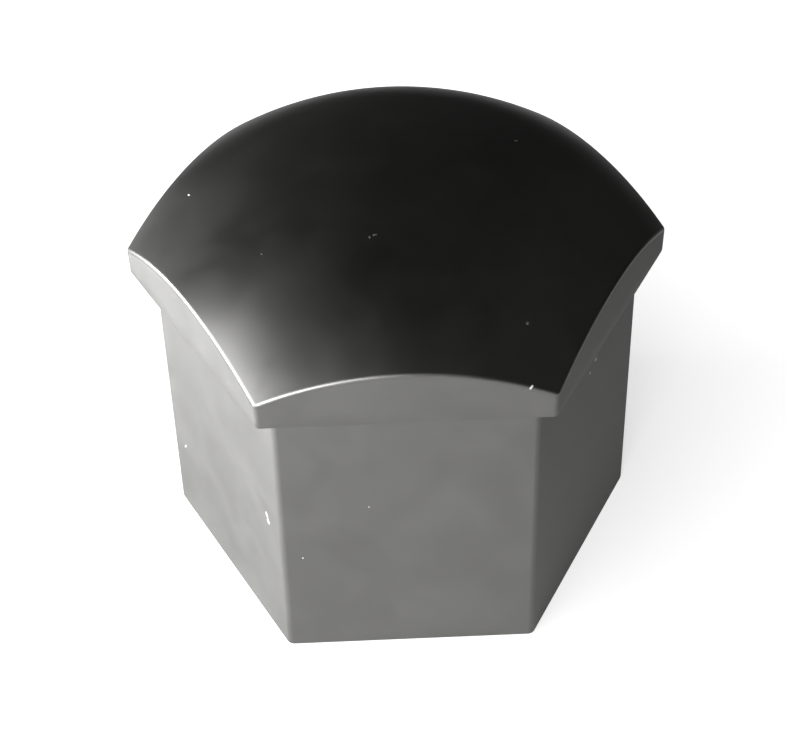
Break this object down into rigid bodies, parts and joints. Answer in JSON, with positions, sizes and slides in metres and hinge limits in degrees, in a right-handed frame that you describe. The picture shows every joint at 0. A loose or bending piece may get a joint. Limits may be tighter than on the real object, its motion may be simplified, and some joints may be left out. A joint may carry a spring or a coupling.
{
  "type": "wheel bolt cap",
  "caption": "Moulded plastic cap that pushes over the hexagonal head of a wheel bolt, with a domed six-sided head, an overhanging rim and an open socket below.",
  "frame": {"origin": "centre of the open mouth, on the surface that the cap stands on", "axes": "+Z along the axis of symmetry, from the mouth to the top of the dome; X passes through two opposite corners of the hexagon"},
  "size_m": [0.0254, 0.022, 0.0219],
  "materials": {
    "cap_plastic": "grey satin moulded plastic"
  },
  "bodies": {
    "root": {"bolt_cap": "cap_plastic"}
  },
  "joints": []
}
